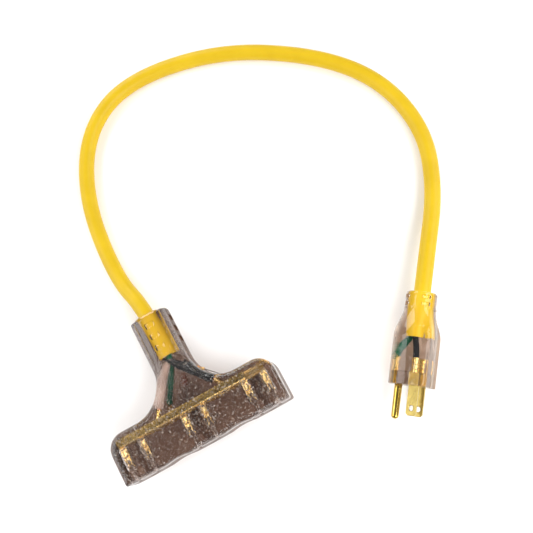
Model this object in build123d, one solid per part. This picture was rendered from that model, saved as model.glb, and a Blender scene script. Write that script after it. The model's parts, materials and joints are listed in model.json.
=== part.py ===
from build123d import *
import math
import os

# Short three-outlet extension cord: a clear T-shaped outlet block, a round yellow cord and a
# clear grounded plug. The block lies flat with its row of outlets along X and its outlet faces
# towards -Y. The origin is at the middle of the block's underside. All sizes are in millimetres.

# ---------------------------------------------------------------- driving dimensions
# outlet block, outer shell
BLOCK_WIDTH = 113.6        # along the row of outlets
BLOCK_DEPTH = 90.0         # outlet face to the end of the neck
BLOCK_HEIGHT = 30.0
BAR_DEPTH = 31.5           # outlet face to the back of the cross bar
NECK_WIDTH = 25.3
NECK_HEIGHT = 23.0
SLOPE_START = 30.5         # from the outlet face, where the broad faces start to slope
NECK_START = 55.0          # and where the flare has become the straight neck
SHOULDER_RADIUS = 11.0
FLARE_RADIUS = 22.0
NECK_END_BULGE = 1.6
EDGE_RADIUS = 3.5
FOLD_RADIUS = 30.0         # where the broad faces slope down to the neck
SCALLOP_DEPTH = 0.8        # shallow hollow of the front between two outlets
SCALLOP_WIDTH = 17.0

# windows of the block's strain relief
WINDOW_ROWS = (66.5, 74.0, 81.5)   # from the outlet face
WINDOW_LENGTH = 4.2
WINDOW_WIDTH = 10.5
WINDOW_FLOOR = 8.4         # left standing around the cord's middle line

# outlets
OUTLET_PITCH = 42.5
INSERT_WIDTH = 25.0
INSERT_HEIGHT = 24.0
INSERT_DEPTH = 22.5
INSERT_CORNER = 5.0
INSERT_LEVEL = 15.0        # middle of the insert above the underside
FACE_WALL = 8.0            # thickness of the insert in front of its contact chambers
SLOT_OFFSET = 6.35         # blade slots, each side of the outlet's middle
SLOT_LEVEL = 20.4          # middle of the slots above the underside
GROUND_LEVEL = SLOT_LEVEL - 11.9
SLOT_WIDTH = 2.0
HOT_SLOT_HEIGHT = 6.9
NEUTRAL_SLOT_HEIGHT = 8.1
GROUND_HOLE_RADIUS = 2.75
CHAMBER_WIDTH = 5.6
CHAMBER_HEIGHT = 9.4
GROUND_CHAMBER_RADIUS = 3.9

# brass strips and female contacts
STRIP_DEPTH = 5.4
STRIP_THICKNESS = 0.8
STRIP_FRONT = INSERT_DEPTH         # from the outlet face
NEUTRAL_STRIP = (-51.0, 38.0, 24.4)   # left end, right end, underside level
HOT_STRIP = (-37.0, 50.5, 14.4)
GROUND_STRIP = (-45.0, 45.0, 4.0)
NEUTRAL_FLANGE = 1.2       # turned down
HOT_FLANGE = 1.8           # turned up
GROUND_FLANGE = 3.4        # turned up
FLANGE_THICKNESS = 0.6
LEAF_THICKNESS = 0.6
LEAF_LENGTH = 13.6
LEAF_SPREAD = 1.5          # leaf middle line to blade middle, at the root
LEAF_PINCH = 1.15          # the same at the pinch
LEAF_SHOULDER = 0.5        # share of the leaf's length where it starts to close in
LEAF_NARROWS = 0.75        # and where it is closest
LEAF_ROOF = 0.3            # share of its length, from the root, that a plate closes on top
NEUTRAL_LEAF = (18.0, 24.4)        # lower and upper level of the leaves
HOT_LEAF = (16.0, 22.2)
GROUND_TUBE_RADIUS = 3.2
GROUND_TUBE_WALL = 0.5
GROUND_TUBE_SLIT = 1.2
GROUND_TUBE_RING = 2.0     # of the tube's root, left whole

# cord
CORD_DIAMETER = 10.4
JACKET_WALL = 1.1
WIRE_DIAMETER = 3.75
COPPER_DIAMETER = 2.3
CORD_LEVEL = 15.0          # middle of the cord in the block's neck
JACKET_INSIDE_BLOCK = 29.5
JACKET_INSIDE_PLUG = 28.0
STRAIGHT_BEFORE_PLUG = 20.0        # the route's last corner, in front of the collar
FLOOR_GAP = 0.05           # under the cord where it lies on the floor
CORD_REST = CORD_DIAMETER / 2 + FLOOR_GAP
RADIUS_SHARE = 0.45        # of the shorter run at a corner, taken by its arc
WIRE_GAP = 0.03            # from a wire to the cord's middle, past the place where all three touch

# plug
PLUG_START = (158.0, -27.0, 13.2)  # middle of the collar's cord end
PLUG_HEADING = 233.4       # degrees from +X, the way the blades point
PLUG_ROLL = 20.0           # about that heading
COLLAR_RADIUS = 9.5
COLLAR_LENGTH = 11.0
SHOULDER_AT = 28.0         # from the collar's cord end
FACE_AT = 57.5
BODY_HALF = 12.5           # across the two blades
BODY_BACK = -14.3          # ground side
BODY_FRONT = 12.0          # blade side
BODY_CORNER = 4.0
PLUG_WINDOW_ROWS = (3.4, 7.8)
PLUG_WINDOW_LENGTH = 2.4
PLUG_WINDOW_WIDTH = 5.4
PLUG_WINDOW_FLOOR = 7.4
PLUG_WINDOW_TURN = -37.0   # degrees about the plug's heading
RIB_RADIUS = 9.9
RIB_LENGTH = 1.2
BLADE_LINE = 3.6           # blades, towards the blade side of the plug's middle line
PIN_LINE = BLADE_LINE - 11.9
BLADE_SPACING = 12.7
BLADE_WIDTH = 6.35
BLADE_THICKNESS = 1.5
BLADE_LENGTH = 17.9
BLADE_HOLE_RADIUS = 1.6
BLADE_HOLE_AT = 13.3       # from the plug's face
BLADE_CHAMFER = 1.3
BLADE_ROOT = 49.5          # from the collar's cord end, where the blade meets its barrel
PIN_RADIUS = 2.4
PIN_LENGTH = 21.0
PIN_SHANK_RADIUS = 2.0     # inside the plug
PIN_TIP_RADIUS = 2.1       # rounding of its end
COLLAR_ROUNDING = 1.8
ROUND_SLIVER = 0.05        # shortest line in a plug section that is all but round
BARREL_START = 41.0
BARREL_LEAD = 3.0          # straight wire in front of a barrel
BARREL_BEND = 4.0          # radius of the wires' bends there
BARREL_RADIUS = 2.1
BRIDGE_MARGIN = 1.6        # bridge inside the shell's outline

# indicator
LAMP_RADIUS = 2.4
LAMP_LENGTH = 9.5
LAMP_CENTRE = (2.6, -3.4, 11.6)
RESISTOR_RADIUS = 1.15
RESISTOR_LENGTH = 6.3
RESISTOR_CENTRE = (15.2, -1.6, 20.6)
LAMP_HEADING = (0.25, 1.0, 0.0)
RESISTOR_HEADING = (0.72, -0.69, 0.0)
LEAD_RADIUS = 0.3
LEAD_BEND = 0.9
LAMP_LEAD = 2.0            # straight lead past each end of the lamp
RESISTOR_LEAD_IN = 6.0     # from the resistor's middle to the lead's bend
RESISTOR_LEAD_OUT = 8.0
STRIP_LEAD = 2.5           # straight lead up to a strip's back edge
LEAD_JOINTS = (0.5, 28.0)  # along the neutral strip and along the hot strip

# working allowances
OVERSHOOT = 1.0            # of a cutting tool past the face that it opens
NEAR = 1.0                 # how close a corner or an edge counts as being at a place

# ---------------------------------------------------------------- worked out from them
FRONT = -BLOCK_DEPTH / 2
BACK = BLOCK_DEPTH / 2
OUTLETS = {"left": -OUTLET_PITCH, "centre": 0.0, "right": OUTLET_PITCH}
CORD_RADIUS = CORD_DIAMETER / 2
BORE_RADIUS = CORD_RADIUS - JACKET_WALL
WIRE_RADIUS = WIRE_DIAMETER / 2
COPPER_RADIUS = COPPER_DIAMETER / 2
LAY_RADIUS = WIRE_DIAMETER / math.sqrt(3) + WIRE_GAP
heading = math.radians(PLUG_HEADING)
roll = math.radians(PLUG_ROLL)
PLUG_AXIS = Vector(math.cos(heading), math.sin(heading), 0)
PLUG_SIDE = Vector(0, 0, 1).cross(PLUG_AXIS)
PLUG_ACROSS = PLUG_SIDE * math.cos(roll) + Vector(0, 0, math.sin(roll))
PLUG = Plane(origin=PLUG_START, x_dir=PLUG_ACROSS, z_dir=PLUG_AXIS)

# the cord's route from the jacket's end in the block to its end in the plug, chosen by hand
JACKET_START = (0.0, BACK - JACKET_INSIDE_BLOCK, CORD_LEVEL)
JACKET_END = tuple(Vector(PLUG_START) + PLUG_AXIS * JACKET_INSIDE_PLUG)
PLUG_APPROACH = tuple(Vector(PLUG_START) - PLUG_AXIS * STRAIGHT_BEFORE_PLUG)
ROUTE = [
    JACKET_START,
    (0.0, 49.0, CORD_LEVEL),
    (-10.0, 80.0, 5.6),
    (-5.0, 139.0, CORD_REST),
    (18.0, 183.0, CORD_REST),
    (58.0, 201.0, CORD_REST),
    (123.0, 187.0, CORD_REST),
    (177.0, 150.0, CORD_REST),
    (207.0, 111.0, CORD_REST),
    (214.0, 66.0, CORD_REST),
    (199.0, 27.0, 5.4),
    PLUG_APPROACH,
    JACKET_END,
]

# where each wire lies in the cord (degrees about its middle, from sideways, top at 90), how it
# runs on to its strip in the block, and the barrel that it enters in the plug
WIRES = {
    "white": (210.0, [(-5.4, 4.0, 18.4), (-10.6, -4.0, 22.7), (-16.6, -12.5, 22.7)],
              (BLADE_LINE, -BLADE_SPACING / 2)),
    "black": (90.0, [(3.4, 5.0, 17.4), (9.0, -2.0, 16.9), (19.0, -12.5, 16.9)],
              (BLADE_LINE, BLADE_SPACING / 2)),
    "green": (-30.0, [(-0.6, 4.0, 11.4), (-6.4, -4.0, 6.5), (-11.8, -12.5, 6.5)],
              (PIN_LINE, 0.0)),
}
FERRULE_RADIUS = 1.6
FERRULE_LENGTH = 6.0
FERRULE_GAP = 0.6          # bare copper between the insulation and the ferrule
TAIL_RADIUS = 6.0
COPPER_OVERHANG = 1.0      # strands that stand out of the far end of a ferrule
BLOCK_STUB = 4.5           # wire that stays straight past the jacket's end, in the block
PLUG_STUB = 3.0            # and in the plug


# ---------------------------------------------------------------- helpers
def at(x, y_from_face, z):
    """A place in the block, with its depth measured from the outlet face."""
    return Vector(x, FRONT + y_from_face, z)


def block_box(x, y, z):
    """A box of the block from pairs of lowest and highest X, depth from the face, and level."""
    size = (x[1] - x[0], y[1] - y[0], z[1] - z[0])
    middle = at((x[0] + x[1]) / 2, (y[0] + y[1]) / 2, (z[0] + z[1]) / 2)
    return Pos(*middle) * Box(*size)


def arc_radii(points):
    """The largest comfortable arc for each corner of a route."""
    radii = []
    for before, corner, after in zip(points, points[1:], points[2:]):
        run_in = Vector(corner) - Vector(before)
        run_out = Vector(after) - Vector(corner)
        half_turn = math.radians(run_in.get_angle(run_out)) / 2
        radii.append(RADIUS_SHARE * min(run_in.length, run_out.length) / math.tan(half_turn))
    return radii


def beside(points, radii, offset):
    """The same route shifted sideways by offset, which turns with it, and its radii."""
    shifted, shifted_radii = [Vector(points[0]) + offset], []
    for before, corner, after, radius in zip(points, points[1:], points[2:], radii):
        run_in = (Vector(corner) - Vector(before)).normalized()
        run_out = (Vector(after) - Vector(corner)).normalized()
        turn_axis = run_in.cross(run_out).normalized()
        inward = turn_axis.cross(run_in)
        turn = run_in.get_angle(run_out)
        lead = offset.dot(inward)
        shifted.append(Vector(corner) + offset - run_in * lead * math.tan(math.radians(turn) / 2))
        shifted_radii.append(radius - lead)
        offset = offset.rotate(Axis((0, 0, 0), turn_axis), turn)
    shifted.append(Vector(points[-1]) + offset)
    return shifted, shifted_radii


def swept(points, radii, outer, inner=0.0):
    """A round tube along straight runs joined by tangent arcs."""
    path = FilletPolyline(*points, radius=radii)
    start = Plane(origin=path @ 0, z_dir=path % 0)
    section = Circle(outer) - Circle(inner) if inner else Circle(outer)
    return sweep(start * section, path=path), path.length


def rod(start, end, radius, inner=0.0):
    """A straight round bar or tube between two places."""
    run = Vector(end) - Vector(start)
    section = Circle(radius) - Circle(inner) if inner else Circle(radius)
    return extrude(Plane(origin=start, z_dir=run) * section, run.length)


def ahead(points, distance):
    """The place past the last point, straight on."""
    run = (Vector(points[-1]) - Vector(points[-2])).normalized()
    return Vector(points[-1]) + run * distance


def largest(shape):
    """The one real solid of a shell that has been cut, without slivers."""
    return shape.solids().sort_by(SortBy.VOLUME)[-1]


# ---------------------------------------------------------------- cord
def make_cord():
    """The jacket and its three wires, each with its tails at both ends."""
    radii = arc_radii(ROUTE)
    print("cord radii", [round(r, 1) for r in radii])
    jacket, length = swept(ROUTE, radii, CORD_RADIUS, BORE_RADIUS)
    ring = math.pi * (CORD_RADIUS**2 - BORE_RADIUS**2)
    print("jacket length", round(length, 1), "volume over section x length",
          round(jacket.volume / (ring * length), 4))
    nodes = {"cord_jacket": jacket}
    ferrules = []
    for name, (angle, block_tail, barrel) in WIRES.items():
        side = math.radians(angle)
        offset = Vector(math.cos(side), 0, math.sin(side)) * LAY_RADIUS
        inside, inside_radii = beside(ROUTE, radii, offset)
        inside[0] = ahead(inside[1::-1], BLOCK_STUB)
        inside[-1] = ahead(inside, PLUG_STUB)
        entry = PLUG.from_local_coords(Vector(*barrel, BARREL_START))
        bend = PLUG.from_local_coords(Vector(*barrel, BARREL_START - BARREL_LEAD))
        tail = [Vector(*p) for p in block_tail][::-1]
        points = tail + inside + [bend, entry]
        bends = [TAIL_RADIUS] * len(tail) + inside_radii + [BARREL_BEND] * 2
        block_end = ahead(points[1::-1], FERRULE_GAP + FERRULE_LENGTH + COPPER_OVERHANG)
        plug_end = ahead(points, BLADE_ROOT - BARREL_START)
        core_points = [block_end] + points[1:-1] + [plug_end]
        core, _ = swept(core_points, bends, COPPER_RADIUS)
        cover, _ = swept(points, bends, WIRE_RADIUS, COPPER_RADIUS)
        nodes[f"{name}_insulation"] = cover
        nodes[f"{name}_copper"] = core
        near = ahead(points[1::-1], FERRULE_GAP)
        far = ahead(points[1::-1], FERRULE_GAP + FERRULE_LENGTH)
        ferrules.append(rod(near, far, FERRULE_RADIUS, COPPER_RADIUS))
    nodes["block_ferrules"] = Compound(children=[Solid(f.solid().wrapped) for f in ferrules])
    return nodes


# ---------------------------------------------------------------- outlet block
def make_outlet_parts():
    """Strips, contacts and the three inserts that hold them."""
    nodes = {}

    def strip(ends, flange_height, turned_up):
        left, right, level = ends
        back = STRIP_FRONT + STRIP_DEPTH
        flat = block_box((left, right), (STRIP_FRONT, back), (level, level + STRIP_THICKNESS))
        if turned_up:
            rise = (level + STRIP_THICKNESS, level + STRIP_THICKNESS + flange_height)
        else:
            rise = (level - flange_height, level)
        return flat + block_box((left, right), (STRIP_FRONT, STRIP_FRONT + FLANGE_THICKNESS), rise)

    def leaves(x, levels):
        """A U of spring brass, open towards the outlet face, pinched near its mouth and
        closed by a small plate on top of its root."""
        outline = []
        for spread, depth in ((LEAF_SPREAD, 0.0), (LEAF_SPREAD, LEAF_SHOULDER),
                              (LEAF_PINCH, LEAF_NARROWS), (LEAF_SPREAD, 1.0)):
            outline.append((spread, STRIP_FRONT - LEAF_THICKNESS / 2 - depth * LEAF_LENGTH))
        right = [at(x + s, d, levels[0]) for s, d in outline]
        left = [at(x - s, d, levels[0]) for s, d in outline]
        line = Polyline(*[(p.X, p.Y) for p in right[::-1] + left])
        band = trace(line, LEAF_THICKNESS)
        half = LEAF_SPREAD + LEAF_THICKNESS / 2
        roof = block_box(
            (x - half, x + half),
            (STRIP_FRONT - LEAF_ROOF * LEAF_LENGTH, STRIP_FRONT),
            (levels[1] - LEAF_THICKNESS, levels[1]),
        )
        return Pos(0, 0, levels[0]) * extrude(band, levels[1] - levels[0]) + roof

    def ground_tube(x):
        near = at(x, STRIP_FRONT - LEAF_LENGTH, GROUND_LEVEL)
        far = at(x, STRIP_FRONT, GROUND_LEVEL)
        tube = rod(near, far, GROUND_TUBE_RADIUS, GROUND_TUBE_RADIUS - GROUND_TUBE_WALL)
        half = GROUND_TUBE_SLIT / 2
        slit_end = STRIP_FRONT - GROUND_TUBE_RING
        slit = block_box((x - half, x + half), (0, slit_end), (GROUND_LEVEL, SLOT_LEVEL))
        return tube - slit

    nodes["neutral_bus"] = strip(NEUTRAL_STRIP, NEUTRAL_FLANGE, False)
    nodes["hot_bus"] = strip(HOT_STRIP, HOT_FLANGE, True)
    nodes["ground_bus"] = strip(GROUND_STRIP, GROUND_FLANGE, True)
    middles = OUTLETS.values()
    nodes["neutral_contacts"] = group([leaves(x - SLOT_OFFSET, NEUTRAL_LEAF) for x in middles])
    nodes["hot_contacts"] = group([leaves(x + SLOT_OFFSET, HOT_LEAF) for x in middles])
    nodes["ground_contacts"] = group([ground_tube(x) for x in middles])
    for name, x in OUTLETS.items():
        nodes[f"outlet_insert_{name}"] = make_insert(x)
    return nodes


def group(pieces):
    """Separate solids of one node."""
    return Compound(children=[Solid(p.solid().wrapped) for p in pieces])


def insert_envelope(x):
    """The outside of one outlet insert."""
    face = Plane(origin=at(x, 0, INSERT_LEVEL), x_dir=(1, 0, 0), z_dir=(0, 1, 0))
    return extrude(face * RectangleRounded(INSERT_WIDTH, INSERT_HEIGHT, INSERT_CORNER), INSERT_DEPTH)


def make_insert(x):
    """One outlet: a solid core with two slots, a ground hole and chambers for the contacts."""
    core = insert_envelope(x)
    for side, height in ((-1, NEUTRAL_SLOT_HEIGHT), (1, HOT_SLOT_HEIGHT)):
        middle = x + side * SLOT_OFFSET
        for width, tall, depths in (
            (SLOT_WIDTH, height, (-OVERSHOOT, FACE_WALL + OVERSHOOT)),
            (CHAMBER_WIDTH, CHAMBER_HEIGHT, (FACE_WALL, INSERT_DEPTH + OVERSHOOT)),
        ):
            core -= block_box(
                (middle - width / 2, middle + width / 2),
                depths,
                (SLOT_LEVEL - tall / 2, SLOT_LEVEL + tall / 2),
            )
    core -= rod(at(x, -OVERSHOOT, GROUND_LEVEL), at(x, FACE_WALL + OVERSHOOT, GROUND_LEVEL),
                GROUND_HOLE_RADIUS)
    core -= rod(at(x, FACE_WALL, GROUND_LEVEL), at(x, INSERT_DEPTH + OVERSHOOT, GROUND_LEVEL),
                GROUND_CHAMBER_RADIUS)
    return core


def block_outline():
    """The T seen from above: bar, shoulders, flares and neck."""
    half_bar, half_neck = BLOCK_WIDTH / 2, NECK_WIDTH / 2
    bar_back, neck_end = FRONT + BAR_DEPTH, BACK - NECK_END_BULGE
    corners = [
        (half_bar, FRONT), (half_bar, bar_back), (half_neck, bar_back), (half_neck, neck_end)
    ]
    mirrored = [(-x, y) for x, y in corners[::-1]]
    edges = [Line(a, b) for a, b in zip(corners, corners[1:])]
    edges.append(ThreePointArc(corners[-1], (0, BACK), mirrored[0]))
    edges += [Line(a, b) for a, b in zip(mirrored, mirrored[1:])]
    edges.append(Line(mirrored[-1], corners[0]))
    outline = make_face(edges)
    outer = half_neck + NEAR
    shoulders = [v for v in outline.vertices() if abs(v.Y - bar_back) < NEAR and abs(v.X) > outer]
    outline = fillet(shoulders, SHOULDER_RADIUS)
    flares = [v for v in outline.vertices() if abs(v.Y - bar_back) < NEAR and abs(v.X) < outer]
    return fillet(flares, FLARE_RADIUS)


def make_block_body(held):
    """The outer shell, moulded round everything in held."""
    plan = extrude(block_outline(), BLOCK_HEIGHT)
    low = CORD_LEVEL - NECK_HEIGHT / 2
    high = CORD_LEVEL + NECK_HEIGHT / 2
    flare_start, flare_end = FRONT + SLOPE_START, FRONT + NECK_START
    side = [
        (FRONT, 0), (flare_start, 0), (flare_end, low), (BACK, low),
        (BACK, high), (flare_end, high), (flare_start, BLOCK_HEIGHT), (FRONT, BLOCK_HEIGHT),
    ]
    profile = make_face(Polyline(*side, close=True))
    folds = [v for v in profile.vertices() if FRONT + NEAR < v.X < BACK - NEAR]
    profile = Plane.YZ * fillet(folds, FOLD_RADIUS)
    body = plan & extrude(profile, BLOCK_WIDTH / 2, both=True)
    body = fillet([e for e in body.edges() if is_outer_edge(e)], EDGE_RADIUS)
    scallop = (SCALLOP_WIDTH**2 / 4 + SCALLOP_DEPTH**2) / (2 * SCALLOP_DEPTH)
    for side_x in (-1, 1):
        middle = (side_x * OUTLET_PITCH / 2, FRONT - scallop + SCALLOP_DEPTH, 0)
        body -= Pos(*middle) * Cylinder(scallop, 2 * BLOCK_HEIGHT + OVERSHOOT)
    body -= block_windows()
    for x in OUTLETS.values():
        body -= insert_envelope(x)
    for solid in held:
        body -= solid
    return largest(body)


def is_outer_edge(edge):
    """True for the edges that run round the broad faces, front and neck end left out."""
    middle, run = edge.center(), edge @ 1 - edge @ 0
    upright = abs(run.Z) > NECK_HEIGHT / 2
    at_an_end = middle.Y < FRONT + NEAR or middle.Y > BACK - NECK_END_BULGE - NEAR / 2
    across_a_face = abs(run.Y) < NEAR / 2 and abs(run.X) > NECK_WIDTH / 2 and abs(middle.X) < NEAR
    return not (upright or at_an_end or across_a_face)


def block_windows():
    """Three rows of four pockets that let the neck bend."""
    pockets = []
    deep = NECK_WIDTH
    for row in WINDOW_ROWS:
        for turn in range(4):
            centre = Pos(0, FRONT + row, CORD_LEVEL) * Rot(0, 90 * turn, 0)
            pocket = Pos(WINDOW_FLOOR + deep / 2, 0, 0) * Box(deep, WINDOW_LENGTH, WINDOW_WIDTH)
            pockets.append(centre * pocket)
    return pockets


# ---------------------------------------------------------------- indicator
def make_indicator():
    """Neon lamp, series resistor and their leads, from the neutral strip to the hot strip."""
    lamp, resistor = Vector(*LAMP_CENTRE), Vector(*RESISTOR_CENTRE)
    along_lamp, along_resistor = Vector(*LAMP_HEADING), Vector(*RESISTOR_HEADING)
    along_lamp, along_resistor = along_lamp.normalized(), along_resistor.normalized()
    lamp_front, lamp_back = (lamp + along_lamp * s * LAMP_LENGTH / 2 for s in (-1, 1))
    near, far = (resistor + along_resistor * s * RESISTOR_LENGTH / 2 for s in (-1, 1))
    back = STRIP_FRONT + STRIP_DEPTH
    neutral_end, hot_end = (
        at(x, back, strip[2] + STRIP_THICKNESS / 2)
        for x, strip in zip(LEAD_JOINTS, (NEUTRAL_STRIP, HOT_STRIP))
    )
    off_strip = Vector(0, STRIP_LEAD, 0)
    routes = [
        [lamp_front, lamp_front - along_lamp * LAMP_LEAD, neutral_end + off_strip, neutral_end],
        [lamp_back, lamp_back + along_lamp * LAMP_LEAD,
         resistor - along_resistor * RESISTOR_LEAD_IN, near],
        [far, resistor + along_resistor * RESISTOR_LEAD_OUT, hot_end + off_strip, hot_end],
    ]
    return {
        "neon_lamp": rod(lamp_front, lamp_back, LAMP_RADIUS),
        "lamp_resistor": rod(near, far, RESISTOR_RADIUS),
        "lamp_leads": group([swept(route, [LEAD_BEND] * 2, LEAD_RADIUS)[0] for route in routes]),
    }


# ---------------------------------------------------------------- plug
def plug_section(level, back, front, half, corner):
    """The plug's outline at one level: round on the ground side, flat on the blade side."""
    middle = back + half
    arc = ThreePointArc((middle, half), (back, 0), (middle, -half))
    lines = [
        arc,
        Line((middle, -half), (front - corner, -half)),
        RadiusArc((front - corner, -half), (front, -half + corner), -corner),
        Line((front, -half + corner), (front, half - corner)),
        RadiusArc((front, half - corner), (front - corner, half), -corner),
        Line((front - corner, half), (middle, half)),
    ]
    return Pos(0, 0, level) * make_face(lines)


def make_plug_sides():
    """The plug's taper and its full part, in its own frame with the collar's end at zero."""
    half, corner = COLLAR_RADIUS - ROUND_SLIVER, COLLAR_RADIUS - 2 * ROUND_SLIVER
    small = plug_section(COLLAR_LENGTH, -COLLAR_RADIUS, COLLAR_RADIUS, half, corner)
    large = plug_section(SHOULDER_AT, BODY_BACK, BODY_FRONT, BODY_HALF, BODY_CORNER)
    return loft([small, large]) + extrude(large, FACE_AT - SHOULDER_AT)


def make_plug(held):
    """Shell, bridge and the three pins."""
    collar = Pos(0, 0, COLLAR_LENGTH / 2) * Cylinder(COLLAR_RADIUS, COLLAR_LENGTH)
    collar = fillet(collar.edges().sort_by(Axis.Z)[0], COLLAR_ROUNDING)
    rib = Pos(0, 0, COLLAR_LENGTH - RIB_LENGTH / 2) * Cylinder(RIB_RADIUS, RIB_LENGTH)
    shell = collar + rib + make_plug_sides()
    for row in PLUG_WINDOW_ROWS:
        for turn in range(4):
            pocket = Pos(PLUG_WINDOW_FLOOR + COLLAR_RADIUS / 2, 0, row) * Box(
                COLLAR_RADIUS, PLUG_WINDOW_WIDTH, PLUG_WINDOW_LENGTH)
            shell -= Rot(0, 0, 90 * turn + PLUG_WINDOW_TURN) * pocket
    bridge_section = plug_section(BLADE_ROOT, BODY_BACK + BRIDGE_MARGIN, BODY_FRONT - BRIDGE_MARGIN,
                                  BODY_HALF - BRIDGE_MARGIN, BODY_CORNER - BRIDGE_MARGIN)
    bridge = extrude(bridge_section, FACE_AT - BLADE_ROOT)
    pins = {
        "hot_blade": make_blade(BLADE_SPACING / 2),
        "neutral_blade": make_blade(-BLADE_SPACING / 2),
        "ground_pin": make_pin(),
    }
    shell -= bridge
    for pin in pins.values():
        bridge -= pin
        shell -= pin
    nodes = {"plug_body": shell, "plug_bridge": bridge, **pins}
    placed = {name: PLUG.location * shape for name, shape in nodes.items()}
    for solid in held:
        placed["plug_body"] = placed["plug_body"] - solid
    placed["plug_body"] = largest(placed["plug_body"])
    return placed


def crimp_barrel(x, y):
    """The round barrel that grips a wire's strands, open at both ends."""
    tube = Cylinder(BARREL_RADIUS, BLADE_ROOT - BARREL_START)
    tube -= Cylinder(COPPER_RADIUS, BLADE_ROOT)
    return Pos(x, y, (BLADE_ROOT + BARREL_START) / 2) * tube


def make_blade(y):
    """A flat blade with a chamfered tip and a hole, and its crimp barrel."""
    tip = FACE_AT + BLADE_LENGTH
    half = BLADE_WIDTH / 2
    outline = [
        (BLADE_LINE - half, BLADE_ROOT), (BLADE_LINE - half, tip - BLADE_CHAMFER),
        (BLADE_LINE - half + BLADE_CHAMFER, tip), (BLADE_LINE + half - BLADE_CHAMFER, tip),
        (BLADE_LINE + half, tip - BLADE_CHAMFER), (BLADE_LINE + half, BLADE_ROOT),
    ]
    face = make_face(Polyline(*outline, close=True))
    face -= Pos(BLADE_LINE, FACE_AT + BLADE_HOLE_AT) * Circle(BLADE_HOLE_RADIUS)
    flat = extrude(Plane.XZ * face, BLADE_THICKNESS / 2, both=True)
    return Pos(0, y, 0) * flat + crimp_barrel(BLADE_LINE, y)


def make_pin():
    """The round ground pin with its rounded tip, and its crimp barrel."""
    tip = FACE_AT + PIN_LENGTH
    bar = Pos(PIN_LINE, 0, (FACE_AT + tip) / 2) * Cylinder(PIN_RADIUS, PIN_LENGTH)
    bar = fillet(bar.edges().sort_by(Axis.Z)[-1], PIN_TIP_RADIUS)
    shank = Cylinder(PIN_SHANK_RADIUS, FACE_AT - BLADE_ROOT)
    return bar + Pos(PIN_LINE, 0, (BLADE_ROOT + FACE_AT) / 2) * shank + crimp_barrel(PIN_LINE, 0)


# ---------------------------------------------------------------- the whole object
def main():
    nodes = make_cord()
    nodes.update(make_outlet_parts())
    nodes.update(make_indicator())
    cord_solid, _ = swept(ROUTE, arc_radii(ROUTE), CORD_RADIUS)
    wires = [nodes[f"{name}_{part}"] for name in WIRES for part in ("insulation", "copper")]
    inside_block = [cord_solid] + wires + [
        nodes[name] for name in (
            "block_ferrules", "neutral_bus", "hot_bus", "ground_bus", "neon_lamp",
            "lamp_resistor", "lamp_leads",
        )
    ]
    nodes["block_body"] = make_block_body(inside_block)
    nodes.update(make_plug([cord_solid] + wires))
    os.makedirs("parts", exist_ok=True)
    for name, shape in nodes.items():
        export_step(shape, f"parts/{name}.step")


main()
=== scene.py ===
import json
import math

import bmesh
import bpy
import numpy as np
from mathutils import Matrix, Vector


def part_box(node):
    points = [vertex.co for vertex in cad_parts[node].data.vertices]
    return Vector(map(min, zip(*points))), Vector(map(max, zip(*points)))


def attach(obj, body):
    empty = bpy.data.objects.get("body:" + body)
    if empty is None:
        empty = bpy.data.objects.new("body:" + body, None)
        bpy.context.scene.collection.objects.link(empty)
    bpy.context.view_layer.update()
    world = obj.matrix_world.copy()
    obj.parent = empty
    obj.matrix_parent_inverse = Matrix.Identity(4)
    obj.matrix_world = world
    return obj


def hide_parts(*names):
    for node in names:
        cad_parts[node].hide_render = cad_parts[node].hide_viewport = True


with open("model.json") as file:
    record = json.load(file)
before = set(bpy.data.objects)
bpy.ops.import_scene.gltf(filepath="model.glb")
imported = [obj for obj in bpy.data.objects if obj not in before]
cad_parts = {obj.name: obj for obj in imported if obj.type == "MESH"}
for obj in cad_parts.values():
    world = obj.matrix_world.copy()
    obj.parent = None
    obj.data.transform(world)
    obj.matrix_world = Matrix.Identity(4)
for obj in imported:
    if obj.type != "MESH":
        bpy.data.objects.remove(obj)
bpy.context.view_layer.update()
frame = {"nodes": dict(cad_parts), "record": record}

# A short three-outlet extension cord: clear T-shaped outlet block, yellow cord, clear plug.
# Everything is in metres, in the row frame: +X along the outlets, +Y towards the cord, +Z up.

MM = 0.001
NODES = frame["nodes"]
MOUNTS = {m["name"]: m for m in frame["record"]["mounts"]}

# ---------------------------------------------------------------- places taken from the frame
BLOCK_LOW, BLOCK_HIGH = (Vector(c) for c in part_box("block_body"))
FRONT, BACK = BLOCK_LOW.y, BLOCK_HIGH.y
HALF_WIDTH = BLOCK_HIGH.x
MIDDLE = (BLOCK_LOW.z + BLOCK_HIGH.z) / 2
HALF_HEIGHT = BLOCK_HIGH.z - MIDDLE
OUTLET_X = [MOUNTS[f"ground_hole_{side}"]["pos_m"][0] for side in ("left", "centre", "right")]
PLUG_AXIS = Vector(MOUNTS["plug_face"]["axis"]).normalized()
FACE_POINT = Vector(MOUNTS["plug_face"]["pos_m"])
PIN_POINT = Vector(MOUNTS["plug_ground_pin"]["pos_m"])
FACE_TO_PIN = PIN_POINT - FACE_POINT
PLUG_ACROSS = (FACE_TO_PIN - PLUG_AXIS * FACE_TO_PIN.dot(PLUG_AXIS)).normalized()
PLUG_UP = PLUG_AXIS.cross(PLUG_ACROSS)
FACE_POINT_OFFSET = 13.5 * MM     # that mount lies this far to the ground side of the middle
FACE_AT = 57.5 * MM                # plug face, from the cord end of its collar
PLUG_START = FACE_POINT + PLUG_ACROSS * FACE_POINT_OFFSET - PLUG_AXIS * FACE_AT
PLUG_FRAME = Matrix.Translation(PLUG_START) @ Matrix(
    (PLUG_ACROSS, PLUG_UP, PLUG_AXIS)).transposed().to_4x4()

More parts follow.
